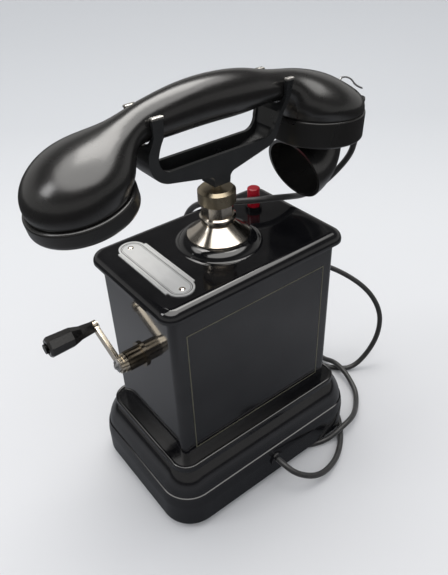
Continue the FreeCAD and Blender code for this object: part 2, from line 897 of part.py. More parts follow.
def ear_cap():
    r = ear_cap_radius
    h = ear_cap_height
    cap = turned([
        (ear_radius - 3.4, 0), (ear_radius - 1.0, 0), (ear_radius - 1.0, joint_groove),
        (r - 1.6, joint_groove), ((r - 0.5, joint_groove + 0.5), (r, joint_groove + 1.8)),
        (r, h - 4.0), ((r - 1.0, h - 1.2), (r - 4.2, h)), (r - 7.0, h),
        ((16.0, h - 3.4), (6.0, h - 5.0)), (6.0, h - 5.0 - cap_wall),
        (ear_radius - 3.4, h - 5.0 - cap_wall),
    ])
    return to_ear(cap)


def mouth_cap():
    r = mouth_cap_radius
    h = mouth_cap_height
    cap = turned([
        (mouth_radius - 3.4, 0), (mouth_radius - 1.0, 0), (mouth_radius - 1.0, joint_groove),
        (r - 1.2, joint_groove), ((r - 0.35, joint_groove + 0.35), (r, joint_groove + 1.2)),
        (r, h - 1.6), ((r - 0.5, h - 0.5), (r - 1.6, h)), (7.0, h), (7.0, h - cap_wall),
        (mouth_radius - 3.4, h - cap_wall),
    ])
    return to_mouth(cap)


mouth_lean = math.radians(mouth_tilt)
horn_offset = mouth_x + mouth_cap_height * math.sin(mouth_lean) - horn_pivot_x
horn_pivot_z = (mouth_z - mouth_cap_height * math.cos(mouth_lean)
                - horn_offset * math.tan(mouth_lean))


def horn_sections(trim):
    """Sections of the mouthpiece from its neck on the cap round to its open rim."""
    half_neck = (horn_neck_far - horn_neck_near) / 2
    return [
        fan(horn_pivot_x, horn_pivot_z, 1, mouth_tilt, horn_neck_near + trim,
            horn_neck_far - trim, half_neck - trim),
        fan(horn_pivot_x, horn_pivot_z, 1, -22.0, 9.0 + trim, 48.6 - trim, 19.8 - trim),
        fan(horn_pivot_x, horn_pivot_z, 1, -46.0, 4.4 + trim, 48.6 - trim, 23.6 - trim),
        fan(horn_pivot_x, horn_pivot_z, 1, -horn_rim_angle, horn_rim_near + trim,
            horn_rim_far - trim, horn_rim_radius - trim),
    ]


def mouth_horn():
    shell = skin(horn_sections(0.0)).cut(skin(horn_sections(horn_wall)))
    shift = (horn_neck_near + horn_neck_far) / 2 - horn_offset / math.cos(mouth_lean)
    plate = to_mouth(cylinder((horn_neck_far - horn_neck_near) / 2 - 0.6,
                              V(-shift, 0, mouth_cap_height), 1.6))
    return shell.fuse(plate).removeSplitter()


def receiver_capsule():
    r = capsule_radius
    body = turned([
        (0, -capsule_depth), (9.0, -capsule_depth), (9.0, -capsule_depth + 2.0),
        (r - 3.0, -capsule_depth + 2.0), (r, -capsule_depth + 5.0), (r, 0), (r + 2.6, 0),
        (r + 2.6, 0.6), (0, 0.6),
    ])
    return to_ear(body)


def receiver_diaphragm():
    return to_ear(cylinder(capsule_radius + 2.4, V(0, 0, 0.6), 0.4))


def transmitter_capsule():
    r = capsule_radius
    body = turned([
        (0, -capsule_depth), (r - 6.0, -capsule_depth), (r - 4.0, -capsule_depth + 4.0),
        (r, -capsule_depth + 5.0), (r, 2.0), (r - 2.0, 4.0), (0, 4.0),
    ])
    return to_mouth(body)


def handset_gland():
    """Moulded strain relief on the far side of the mouth cap."""
    gland_direction = (V(*cord_points[1]) - V(*cord_points[0])).normalize()
    start = V(*cord_points[0]) - gland_direction * gland_length
    barrel = cylinder(gland_radius, start, gland_length, gland_direction)
    flange = cylinder(gland_radius + gland_flange, start, gland_length - 4.0, gland_direction)
    body = barrel.fuse(flange).cut(handset_body()).cut(mouth_cap())
    return sorted(body.Solids, key=lambda piece: -piece.CenterOfMass.x)[0]


def cord_hook():
    """Bent wire eye on the housing that takes the pull of the cord."""
    wire = 0.8
    root = V(mouth_x + 18.0, 1.0, handle_height - 14.6)
    crest = root + V(5.5, 0, 5.4)
    dip = crest + V(13.9, 0, -6.9)
    path = Part.Wire([
        line(root, crest), arc(crest, crest + V(6.9, 0, -1.4), dip),
        arc(dip, dip + V(4.6, 0, -3.3), dip + V(9.4, 0, -5.7)),
    ])
    ring = Part.Wire([Part.Circle(root, crest - root, wire).toShape()])
    hook = path.makePipeShell([ring], True, True)
    outside = hook.cut(handset_body())
    return sorted(outside.Solids, key=lambda s: -s.Volume)[0]


kept = {}


def handset_body():
    if "handset" not in kept:
        kept["handset"] = handset_shell()
    return kept["handset"]


# Crank, grip and push button

def crank_bush():
    x = -case_length / 2
    bore = crank_shaft_radius + running
    seat = tube(crank_seat_radius, bore, V(x - crank_seat, 0, crank_height), crank_seat, X_AXIS)
    barrel = tube(crank_bush_radius, bore,
                  V(x - crank_seat - crank_bush_length, 0, crank_height),
                  crank_bush_length, X_AXIS)
    spigot = tube(crank_bush_radius - 2.05, bore, V(x, 0, crank_height), 6.0, X_AXIS)
    nut = tube(crank_bush_radius + 1.0, crank_bush_radius - 2.1,
               V(x + case_sheet, 0, crank_height), 3.0, X_AXIS)
    return fuse([seat, barrel, spigot, nut])


arm_tip = V(0, arm_length * math.cos(math.radians(arm_angle)),
            crank_height + arm_length * math.sin(math.radians(arm_angle)))
bush_end = -case_length / 2 - crank_seat - crank_bush_length
gear_x = generator_start - 9.0


def crank_shaft():
    start = -crank_plane - arm_thickness - 1.5
    end = generator_start + magnet_count * (magnet_width + magnet_gap) + 6.0
    shaft = cylinder(crank_shaft_radius, V(start, 0, crank_height), end - start, X_AXIS)
    cone = Part.makeCone(1.6, crank_shaft_radius, 1.5, V(start - 1.5, 0, crank_height), X_AXIS)
    x1 = -crank_plane - arm_thickness
    nut = Part.Face(Part.makePolygon([
        V(x1, 5.0 * math.cos(math.radians(60 * i)), 5.0 * math.sin(math.radians(60 * i)))
        for i in range(7)])).extrude(V(-1.4, 0, 0))
    nut.translate(V(0, 0, crank_height))
    return fuse([shaft, cone, nut])


def crank_arm():
    x0 = -crank_plane - arm_thickness
    hub = cylinder(arm_hub_radius, V(x0, 0, crank_height), arm_thickness, X_AXIS)
    sleeve = cylinder(arm_hub_radius + 0.6, V(-crank_plane, 0, crank_height),
                      bush_end - moving_gap + crank_plane, X_AXIS)
    eye = cylinder(arm_eye_radius, arm_tip + V(x0, 0, 0), arm_thickness, X_AXIS)
    taper = Part.Face(Part.makePolygon([
        V(x0, -arm_hub_radius * 0.62, 0), V(x0, arm_hub_radius * 0.62, 0),
        V(x0, arm_eye_radius * 0.8, arm_length), V(x0, -arm_eye_radius * 0.8, arm_length),
        V(x0, -arm_hub_radius * 0.62, 0)])).extrude(V(arm_thickness, 0, 0))
    taper.rotate(V(0, 0, 0), X_AXIS, arm_angle - 90)
    taper.translate(V(0, 0, crank_height))
    arm = fuse([hub, sleeve, eye, taper])
    bore = cylinder(crank_shaft_radius, V(x0 - 1, 0, crank_height), 20, X_AXIS)
    pin_hole = cylinder(grip_pin_radius, arm_tip + V(x0 - 1, 0, 0), arm_thickness + 2, X_AXIS)
    return arm.cut(bore).cut(pin_hole)


def grip_pin():
    x0 = -crank_plane - arm_thickness
    pin = cylinder(grip_pin_radius, arm_tip + V(x0 - grip_length - 1.2, 0, 0),
                   grip_length + 1.2 + arm_thickness + 1.0, X_AXIS)
    head = cylinder(grip_pin_radius + 1.6, arm_tip + V(x0 - grip_length - 1.2, 0, 0), 1.0, X_AXIS)
    rivet = cylinder(grip_pin_radius + 1.0, arm_tip + V(-crank_plane, 0, 0), 0.9, X_AXIS)
    return fuse([pin, head, rivet])


def crank_grip():
    root = -crank_plane - arm_thickness - 0.5
    length = grip_length - 1.2
    neck = 9.5

    def ring(offset, radius):
        return Part.makePolygon([
            V(root - offset, radius * math.cos(math.radians(360 * (i + 0.5) / grip_facets)),
              radius * math.sin(math.radians(360 * (i + 0.5) / grip_facets)))
            for i in range(grip_facets + 1)])
    body = Part.makeLoft([
        ring(0.0, grip_neck_radius), ring(neck, grip_neck_radius + 0.9),
        ring(neck + 7.0, grip_radius - 0.6), ring(length - 1.6, grip_radius),
        ring(length, grip_radius - 1.4)], True, True)
    body.translate(arm_tip)
    hole = cylinder(grip_pin_radius + running, arm_tip + V(root - length - 1, 0, 0),
                    length + 2, X_AXIS)
    pocket = cylinder(grip_pin_radius + 2.2, arm_tip + V(root - length - 0.1, 0, 0), 1.6, X_AXIS)
    return body.cut(hole).cut(pocket)


def button_bush():
    z0 = lid_top
    bore = button_radius + 0.3
    ring = tube(button_bush_radius, bore, V(button_x, button_y, z0), button_bush_height)
    sleeve = tube(bush_sleeve, bore, V(button_x, button_y, z0 - lid_sheet - 5.0),
                  lid_sheet + 5.0)
    floor = tube(bush_sleeve, button_stem_radius + running,
                 V(button_x, button_y, z0 - lid_sheet - 6.6), 1.6)
    return fuse([ring, sleeve, floor])


def push_button():
    body = turned([
        (0, lid_top - 2.0), (button_radius, lid_top - 2.0), (button_radius, button_top - 1.0),
        ((button_radius - 0.3, button_top - 0.3), (button_radius - 1.0, button_top)),
        (0, button_top),
    ], V(button_x, button_y, 0))
    foot = lid_top - lid_sheet - 12.0
    stem = cylinder(button_stem_radius, V(button_x, button_y, foot), lid_top - 2.0 - foot)
    return body.fuse(stem).removeSplitter()


# Generator

generator_end = generator_start + magnet_count * (magnet_width + magnet_gap)
pole_low = armature_height - armature_radius - 2.0
pole_high = armature_height + armature_radius + 2.0
case_inner_top = lid_top - lid_sheet
generator_screw_places = [
    V(x, y, 0)
    for x in (generator_start - plate_sheet - 5, generator_end + plate_sheet + 5)
    for y in (6 - pole_half_width - magnet_thick, pole_half_width + magnet_thick - 6)]


def chassis():
    floor = box(-corner_x + 1, corner_x - 1, -corner_y + 0.5, corner_y - 0.5,
                chassis_floor, chassis_top)
    window = box(4, 26, -14, 14, chassis_floor - 1, chassis_top + 1)
    floor = floor.cut(window)
    for place in case_screw_places:
        floor = floor.cut(cylinder(1.5, place + V(0, 0, chassis_floor - 1), chassis_sheet + 2))
    for place in generator_screw_places:
        floor = floor.cut(cylinder(generator_shank, place + V(0, 0, chassis_floor - 1),
                                   chassis_sheet + 2))
    return floor


def case_screws():
    return Part.makeCompound([
        screw(place + V(0, 0, deck_under), 3.4, 2.0, 1.5, chassis_top - deck_under + 3.0)
        for place in case_screw_places])


def end_plate(x0, x1, foot_side):
    half = pole_half_width + magnet_thick
    top = crank_height + 12.0
    face = Part.Face(Part.Wire([
        line(V(0, -half, chassis_top), V(0, half, chassis_top)),
        line(V(0, half, chassis_top), V(0, half, pole_high)),
        line(V(0, half, pole_high), V(0, 12, top)),
        arc(V(0, 12, top), V(0, 0, top + 3), V(0, -12, top)),
        line(V(0, -12, top), V(0, -half, pole_high)),
        line(V(0, -half, pole_high), V(0, -half, chassis_top)),
    ]))
    plate = face.extrude(V(x1 - x0, 0, 0))
    plate.translate(V(x0, 0, 0))
    outer = x0 if foot_side < 0 else x1
    foot = box(min(outer, outer + foot_side * 9), max(outer, outer + foot_side * 9),
               -half, half, chassis_top, chassis_top + plate_sheet)
    plate = plate.fuse(foot).removeSplitter()
    collar = cylinder(6.0, V(x1 if foot_side > 0 else x0 - 1.6, 0, crank_height), 1.6, X_AXIS)
    plate = plate.fuse(collar)
    for z, radius in ((crank_height, crank_shaft_radius), (armature_height, armature_shaft_radius)):
        plate = plate.cut(cylinder(radius + running, V(x0 - 5, 0, z), x1 - x0 + 10, X_AXIS))
    for place in generator_screw_places:
        plate = plate.cut(cylinder(generator_shank, place + V(0, 0, chassis_top - 1),
                                   plate_sheet + 2))
    window = box(x0 - 1, x1 + 1, -16, 16, chassis_top + 8, pole_low - 4)
    return plate.cut(window)


def generator_plates():
    return Part.makeCompound([
        end_plate(generator_start - plate_sheet, generator_start, -1),
        end_plate(generator_end, generator_end + plate_sheet, 1)])


def generator_screws():
    return Part.makeCompound([
        screw(place + V(0, 0, chassis_top + plate_sheet), 2.6, 1.6, generator_shank, 4.0, -Z_AXIS)
        for place in generator_screw_places])


def magnets():
    outer = pole_half_width + magnet_thick
    bend = stem_foot - magnet_room - outer
    face = outline([
        V(0, pole_half_width, pole_low), V(0, outer, pole_low), V(0, outer, bend),
        (V(0, 0, bend + outer), V(0, -outer, bend)),
        V(0, -outer, pole_low), V(0, -pole_half_width, pole_low), V(0, -pole_half_width, bend),
        (V(0, 0, bend + pole_half_width), V(0, pole_half_width, bend)),
    ])
    bars = []
    for i in range(magnet_count):
        bar = face.extrude(V(magnet_width, 0, 0))
        bar.translate(V(generator_start + magnet_gap / 2 + i * (magnet_width + magnet_gap), 0, 0))
        bars.append(bar)
    return Part.makeCompound(bars)


def pole_pieces():
    length = generator_end - generator_start
    block = box(generator_start, generator_end, -pole_half_width, pole_half_width,
                pole_low, pole_high)
    block = block.cut(cylinder(armature_radius + pole_bore_gap,
                               V(generator_start - 1, 0, armature_height), length + 2, X_AXIS))
    return block.cut(box(generator_start - 1, generator_end + 1, -6, 6, pole_low - 1, pole_high + 1))


def armature_core():
    x0 = generator_start + 2.0
    length = generator_end - generator_start - 4.0
    core = cylinder(armature_radius, V(x0, 0, armature_height), length, X_AXIS)
    for side in (-1, 1):
        z = armature_height + side * 4.0
        core = core.cut(box(x0 - 1, x0 + length + 1, -8.5, 8.5, min(z, z + side * 20),
                            max(z, z + side * 20)))
    return core.cut(cylinder(armature_shaft_radius, V(x0 - 1, 0, armature_height),
                             length + 2, X_AXIS))


def armature_winding():
    x0 = generator_start + 3.0
    length = generator_end - generator_start - 6.0
    coil = cylinder(armature_radius - 1.2, V(x0, 0, armature_height), length, X_AXIS)
    halves = [coil.common(box(x0 - 1, x0 + length + 1, -8.2, 8.2,
                              armature_height + 4.1, armature_height + 20)),
              coil.common(box(x0 - 1, x0 + length + 1, -8.2, 8.2,
                              armature_height - 20, armature_height - 4.1))]
    return Part.makeCompound(halves)


def gear(teeth, bore, x, z, width, phase, slim):
    """Spur gear about X with straight-flanked teeth that taper to the tip."""
    pitch_r = gear_module * teeth / 2
    root = pitch_r - 1.3 * gear_module
    tip = pitch_r + 0.95 * gear_module
    step = 2 * math.pi / teeth
    points = []
    for i in range(teeth):
        middle = phase + i * step
        for radius, half in ((root, 0.31 - slim), (tip, 0.14 - slim)):
            points.append((radius, middle - half * step))
        for radius, half in ((tip, 0.14 - slim), (root, 0.31 - slim)):
            points.append((radius, middle + half * step))
    ring = [V(0, r * math.cos(a), r * math.sin(a)) for r, a in points]
    blank = Part.Face(Part.makePolygon(ring + [ring[0]])).extrude(V(width, 0, 0))
    blank.translate(V(x, 0, z))
    return blank.cut(cylinder(bore, V(x - 1, 0, z), width + 2, X_AXIS))


def armature_shaft():
    start = gear_x - 2.0
    end = generator_end + plate_sheet + 5.0
    shaft = cylinder(armature_shaft_radius, V(start, 0, armature_height), end - start, X_AXIS)
    half_tooth = math.pi / pinion_teeth
    pinion = gear(pinion_teeth, armature_shaft_radius, gear_x, armature_height, gear_width,
                  math.pi / 2 + half_tooth, 0.05)
    return shaft.fuse(pinion).removeSplitter()


def drive_gear():
    wheel = gear(drive_teeth, crank_shaft_radius, gear_x, crank_height, gear_width,
                 math.pi / 2, 0.05)
    spokes = 5
    for i in range(spokes):
        a = 2 * math.pi * (i + 0.5) / spokes
        wheel = wheel.cut(cylinder(4.6, V(gear_x - 1, 13.0 * math.cos(a),
                                          crank_height + 13.0 * math.sin(a)),
                                   gear_width + 2, X_AXIS))
    return wheel


# Ringer

shelf_top = gong_rim - 5.0
coil_foot = chassis_top + 3.0
coil_top = coil_foot + coil_height


def ringer_frame():
    x0 = ringer_x - 12
    x1 = ringer_x + 12
    yoke = box(x0, x1, -34, 34, chassis_top, coil_foot)
    sides = [box(x0, x1, y0, y1, coil_foot, shelf_top) for y0, y1 in ((-34, -31.5), (31.5, 34))]
    shelves = [box(x0, x1, y0, y1, shelf_top - 2.5, shelf_top)
               for y0, y1 in ((-31.5, -8), (8, 31.5))]
    pivots = [box(ringer_x + side * 6.5 - 1, ringer_x + side * 6.5 + 1, -3.2, 3.2,
                  coil_foot, clapper_pivot + 3.0) for side in (-1, 1)]
    cores = [cylinder(coil_core, V(ringer_x, side * coil_spread, coil_foot), coil_height + 5.5)
             for side in (-1, 1)]
    pin = cylinder(1.2, V(ringer_x - 8.5, 0, clapper_pivot), 17, X_AXIS)
    return fuse([yoke, pin] + sides + shelves + pivots + cores)


def ringer_coils():
    coils = []
    for side in (-1, 1):
        at = V(ringer_x, side * coil_spread, 0)
        winding = turned([
            (coil_core, coil_foot), (coil_radius, coil_foot), (coil_radius, coil_foot + 1.6),
            (coil_radius - 1.2, coil_foot + 1.6), (coil_radius - 1.2, coil_top - 1.6),
            (coil_radius, coil_top - 1.6), (coil_radius, coil_top), (coil_core, coil_top),
        ], at)
        coils.append(winding)
    return Part.makeCompound(coils)


def gongs():
    bells = []
    for side in (-1, 1):
        r = gong_radius
        rise = 8.6
        top = gong_rim + rise
        bells.append(turned([
            (1.5, top), (5.0, top), ((r * 0.78, gong_rim + rise * 0.74), (r, gong_rim)),
            (r - gong_sheet, gong_rim),
            ((r * 0.78 - gong_sheet * 0.8, gong_rim + rise * 0.74 - gong_sheet * 0.8),
             (4.6, top - gong_sheet)), (1.5, top - gong_sheet),
        ], V(ringer_x, side * gong_spread, 0)))
    return Part.makeCompound(bells)


def gong_posts():
    rise = gong_rim + 8.6
    posts = []
    for side in (-1, 1):
        posts.append(turned([
            (0, shelf_top), (3.0, shelf_top), (3.0, rise - gong_sheet), (1.5, rise - gong_sheet),
            (1.5, rise), (3.4, rise), (3.4, rise + 1.8), (0, rise + 1.8),
        ], V(ringer_x, side * gong_spread, 0)))
    return Part.makeCompound(posts)


def clapper():
    z = clapper_pivot
    bar = box(ringer_x - 4.5, ringer_x + 4.5, -coil_spread - 5, coil_spread + 5, z - 1.4, z + 1.4)
    hub = cylinder(2.6, V(ringer_x - 5.0, 0, z), 10, X_AXIS)
    rod = cylinder(0.9, V(ringer_x, 0, z), gong_rim + 1.0 - z)
    ball = Part.makeSphere(ball_radius, V(ringer_x, 0, gong_rim + 1.5))
    body = fuse([bar, hub, rod, ball])
    return body.cut(cylinder(1.2 + running, V(ringer_x - 10, 0, z), 20, X_AXIS))


# Hook switch, button contacts and the parts under the deck

bracket_face = button_x + bracket_run


def switch_bracket():
    top = case_inner_top
    wall = box(16, 60, bracket_y, bracket_y + 2, lever_pivot_z - 5, top)
    flange = box(18, 60, bracket_y, bracket_y + 15, top - 2, top)
    pin = cylinder(1.5, V(lever_pivot_x, bracket_y, lever_pivot_z), 13, Y_AXIS)
    return fuse([wall, flange, pin])


def switch_lever():
    top = stem_foot - moving_gap
    nose = blade_low - moving_gap
    arm = box(-4, lever_pivot_x, -lever_half, lever_half, top - lever_thick, top)
    hub = cylinder(4.0, V(lever_pivot_x, -lever_half, lever_pivot_z), 2 * lever_half, Y_AXIS)
    tail = box(lever_pivot_x, lever_pivot_x + 11, -lever_half, lever_half,
               lever_pivot_z, lever_pivot_z + 2.4)
    finger = box(lever_pivot_x + 8, lever_pivot_x + 11, -lever_half + 1, lever_half - 1,
                 lever_pivot_z, nose)
    body = fuse([arm, hub, tail, finger])
    return body.cut(cylinder(1.5 + running, V(lever_pivot_x, -10, lever_pivot_z), 20, Y_AXIS))


def contact_springs():
    blades = [box(button_x - 4, bracket_face, button_y - 2.5, button_y + 2.5, z, z + blade_sheet)
              for z in button_blades]
    for i in range(3):
        z = blade_low + i * blade_step
        blades.append(box(31 + 2 * i, stack_x1 + 2, -3, 3, z, z + blade_sheet))
    return Part.makeCompound(blades)


def switch_insulators():
    blocks = []
    heights = [blade_low - 3] + [blade_low + i * blade_step + blade_sheet for i in range(3)]
    tops = [blade_low + i * blade_step for i in range(3)] + [
        blade_low + 2 * blade_step + blade_sheet + 3]
    for low, high in zip(heights, tops):
        blocks.append(box(stack_x0, stack_x1, bracket_y + 2, 4, low, high))
    return Part.makeCompound(blocks)


def button_bracket():
    top = case_inner_top
    back = bracket_face + bracket_sheet
    front = bracket_face - clamp_length
    wall = box(bracket_face, back, button_y - 6, button_y + 6, bracket_low, top)
    flange = box(front, back, button_y - 6, button_y + 6, top - bracket_sheet, top)
    body = wall.fuse(flange).removeSplitter()
    for z in button_blades:
        body = body.fuse(box(front, bracket_face, button_y - 5, button_y + 5,
                             z + blade_sheet, z + 2.4))
        body = body.fuse(box(front, bracket_face, button_y - 5, button_y + 5, z - 1.5, z))
    return body.removeSplitter()


coil_axis_x = coil_inset - case_length / 2
coil_axis_z = deck_under - 12.0
core_half = case_depth / 2 - coil_end_gap
winding_half = core_half - core_show - cheek_sheet


def induction_winding():
    return tube(10.0, core_radius, V(coil_axis_x, -winding_half, coil_axis_z),
                2 * winding_half, Y_AXIS)


def induction_bobbin():
    core = cylinder(core_radius, V(coil_axis_x, -core_half, coil_axis_z), 2 * core_half, Y_AXIS)
    cheeks = [box(coil_axis_x - 11, coil_axis_x + 11, y, y + cheek_sheet,
                  coil_axis_z - 11, deck_under)
              for y in (-winding_half - cheek_sheet, winding_half)]
    return fuse([core] + cheeks)


def condenser():
    high = case_length / 2
    low = high - condenser_length
    can = box(low, high, -condenser_half, condenser_half, deck_under - condenser_drop, deck_under)
    lugs = [cylinder(1.6, V((low + high) / 2, y, deck_under - condenser_drop - 3), 3)
            for y in (-condenser_half / 2, condenser_half / 2)]
    return fuse([can.makeFillet(1.2, [e for e in can.Edges if e.CenterOfMass.z < deck_under - 1])]
                + lugs)


def terminal_strip():
    strip = box(-30, 30, deck_opening_y + 3, deck_opening_y + 15, deck_under - 6, deck_under)
    for i in range(6):
        strip = strip.cut(cylinder(1.4, V(-25 + 10 * i, deck_opening_y + 9, deck_under - 7), 6))
    return strip


def terminal_screws():
    return Part.makeCompound([
        screw(V(-25 + 10 * i, deck_opening_y + 9, deck_under - 6), 2.8, 1.6, 1.4, 4.5)
        for i in range(6)])


# Cord

cord_points = [
    (129, -4, 260), (130, -4.5, 250), (130, -4, 239), (128, -2, 226), (117, 6, 209),
    (103, 10, 200.5), (88, 8, 202), (72, 5, 207.5), (56, 6, 211.5), (42, 12, 212),
    (32, 21, 211), (25, 33, 208), (20, 45, 205), (16, 57, 197), (13, 63.5, 183),
    (17, 68, 167), (37, 69, 150), (68, 64, 133), (102, 51, 118), (132, 36, 107),
    (154, 16, 95), (169, -5, 79), (174, -19, 59), (170, -24, 38), (160, -23, 18),
    (144, -19, 2.7), (131, -11, 2.7), (120.5, 5, 2.7), (112, 22, 2.7), (106, 41, 2.7),
    (114, 58, 2.7), (130, 58, 2.7), (137, 42, 2.7), (132, 25, 2.7), (129, 9, 3.5),
    (130.4, -5, 8.6), (128.6, -19, 8.8), (126, -31, 5.5), (121, -43, 2.7), (109, -54.5, 2.7),
    (92, -65.6, 8.8), (73, -68, 8.8), (57, -66, 2.7), (38, -58, 2.7), (26, -41, 2.7),
    (32, -21, 2.7), (54, -11, 2.7), (76, -13, 2.7), (90, -27, 2.7), (90.5, -46, 2.7),
    (79, -63, 2.7), (63, -78, 2.7), (44, -88, 4.5), (23, -91, 8.5), (7.5, -83, 15.5),
    (2, -71.5, 21.5), (2, -61, 21.5),
]


def cord_tube(points, diameter):
    """Tube of straight runs joined by tangent arcs."""
    radius = diameter / 2
    corners_cut = []
    radii = []
    for a, b, c in zip(points, points[1:], points[2:]):
        into = (b - a).normalize()
        away = (c - b).normalize()
        turn = math.acos(max(-1.0, min(1.0, into.dot(away))))
        reach = 0.45 * min((b - a).Length, (c - b).Length)
        radii.append(reach / math.tan(turn / 2))
        bulge = (away - into).normalize()
        centre = b + bulge * (radii[-1] / math.cos(turn / 2))
        corners_cut.append((b - into * reach, centre - bulge * radii[-1], b + away * reach))
    edges = []
    at = points[0]
    for start, middle, end in corners_cut:
        edges.append(line(at, start))
        edges.append(arc(start, middle, end))
        at = end
    edges.append(line(at, points[-1]))
    path = Part.Wire(edges)
    section = Part.Wire([Part.Circle(points[0], points[1] - points[0], radius).toShape()])
    solid = path.makePipeShell([section], True, False)
    expected = math.pi * radius * radius * path.Length
    print("cord length", round(path.Length, 1), "tightest bend", round(min(radii), 1),
          "volume ratio", round(solid.Volume / expected, 4))
    print("cord bend radii", [round(r, 1) for r in radii])
    return solid


def cord():
    return cord_tube([V(*point) for point in cord_points], cord_diameter)


def build():
    os.makedirs("parts", exist_ok=True)
    for piece in pieces:
        export(piece.__name__, piece())


pieces = [
    plinth, bottom_plate, feet, foot_screws, cord_grommet, case_shell, case_lines, lid,
    nameplate, nameplate_rivets, column_flange, column_waist, column_cap, column_guide,
    lift_spring, cradle, prong_tips, cradle_stem, handset_body, ear_cap, mouth_cap, mouth_horn,
    receiver_capsule, receiver_diaphragm, transmitter_capsule, handset_gland, cord_hook,
    crank_bush, crank_shaft, crank_arm, grip_pin, crank_grip, button_bush, push_button,
    chassis, case_screws, generator_plates, generator_screws, magnets, pole_pieces,
    armature_core, armature_winding, armature_shaft, drive_gear, ringer_frame, ringer_coils,
    gongs, gong_posts, clapper, switch_bracket, switch_lever, contact_springs,
    switch_insulators, button_bracket, induction_winding, induction_bobbin, condenser,
    terminal_strip, terminal_screws, cord,
]
build()
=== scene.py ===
import json
import math

import bmesh
import bpy
from mathutils import Matrix, Vector


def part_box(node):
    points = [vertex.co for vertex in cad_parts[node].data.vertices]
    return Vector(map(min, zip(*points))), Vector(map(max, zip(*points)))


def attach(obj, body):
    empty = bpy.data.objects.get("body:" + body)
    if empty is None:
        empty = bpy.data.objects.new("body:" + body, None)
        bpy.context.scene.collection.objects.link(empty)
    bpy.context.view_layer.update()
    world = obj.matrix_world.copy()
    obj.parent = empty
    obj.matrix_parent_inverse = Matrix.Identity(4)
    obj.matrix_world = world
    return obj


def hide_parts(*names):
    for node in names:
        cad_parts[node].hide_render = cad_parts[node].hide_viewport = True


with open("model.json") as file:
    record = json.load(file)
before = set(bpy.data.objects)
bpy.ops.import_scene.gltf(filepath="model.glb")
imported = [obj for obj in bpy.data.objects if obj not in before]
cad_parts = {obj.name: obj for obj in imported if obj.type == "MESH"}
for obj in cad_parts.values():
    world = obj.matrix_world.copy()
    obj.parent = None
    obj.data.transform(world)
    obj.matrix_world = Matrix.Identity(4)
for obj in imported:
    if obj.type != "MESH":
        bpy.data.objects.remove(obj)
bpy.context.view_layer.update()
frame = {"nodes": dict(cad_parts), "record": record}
nodes = frame["nodes"]
collection = bpy.context.scene.collection


def link(name, data):
    obj = bpy.data.objects.new(name, data)
    collection.objects.link(obj)
    return obj


# Camera, as fitted to the photograph

camera_place = Vector((-0.21266, -0.29122, 0.42479))
right = Vector((0.788537, -0.614072, -0.033539))
up = Vector((0.386033, 0.451782, 0.804283))
back = right.cross(up)
camera_data = bpy.data.cameras.new("camera")
camera_data.lens = 37.737
camera_data.sensor_width = 36.0
camera_data.clip_start = 0.01
camera = link("camera", camera_data)
camera.matrix_world = Matrix((
    (right.x, up.x, back.x, camera_place.x),
    (right.y, up.y, back.y, camera_place.y),
    (right.z, up.z, back.z, camera_place.z),
    (0, 0, 0, 1)))
bpy.context.scene.camera = camera


# Materials

class Shader:
    """A principled material that is built up node by node."""

    def __init__(self, name, rough, metal=0.0, coat=0.0, coat_rough=0.08, ior=1.5, sheen=0.0):
        self.material = bpy.data.materials.new(name)
        self.material.use_nodes = True
        self.tree = self.material.node_tree
        self.surface = self.tree.nodes["Principled BSDF"]
        self.set("Metallic", metal)
        self.set("Roughness", rough)
        self.set("Coat Weight", coat)
        self.set("Coat Roughness", coat_rough)
        self.set("IOR", ior)
        self.set("Sheen Weight", sheen)
        self.place = self.tree.nodes.new("ShaderNodeTexCoord").outputs["Object"]
        self.normal = None

    def set(self, socket, value):
        self.surface.inputs[socket].default_value = value

    def node(self, kind, **values):
        made = self.tree.nodes.new(kind)
        for key, value in values.items():
            if key in ("operation", "blend_type", "data_type", "bands_direction"):
                setattr(made, key, value)
            else:
                made.inputs[key.replace("_", " ")].default_value = value
        return made

    def join(self, out, into):
        self.tree.links.new(out, into)

    def stretched(self, scale):
        mapping = self.node("ShaderNodeMapping", Scale=scale)
        self.join(self.place, mapping.inputs["Vector"])
        return mapping.outputs["Vector"]

    def noise(self, scale, detail=4.0, rough=0.55, stretch=None):
        made = self.node("ShaderNodeTexNoise", Scale=scale, Detail=detail, Roughness=rough)
        self.join(self.stretched(stretch) if stretch else self.place, made.inputs["Vector"])
        return made.outputs["Fac"]

    def ramp(self, fac, stops):
        made = self.tree.nodes.new("ShaderNodeValToRGB")
        while len(made.color_ramp.elements) < len(stops):
            made.color_ramp.elements.new(0.5)
        for element, (at, value) in zip(made.color_ramp.elements, stops):
            element.position = at
            value = value if isinstance(value, tuple) else (value, value, value)
            element.color = (*value, 1.0)
        self.join(fac, made.inputs["Fac"])
        return made.outputs["Color"]

    def color(self, source):
        self.join(source, self.surface.inputs["Base Color"])
        return self

    def rough(self, source):
        self.join(source, self.surface.inputs["Roughness"])
        return self

    def bump(self, height, strength, distance=0.0004):
        made = self.node("ShaderNodeBump", Strength=strength, Distance=distance)
        self.join(height, made.inputs["Height"])
        if self.normal:
            self.join(self.normal, made.inputs["Normal"])
        self.normal = made.outputs["Normal"]
        self.join(self.normal, self.surface.inputs["Normal"])
        return self


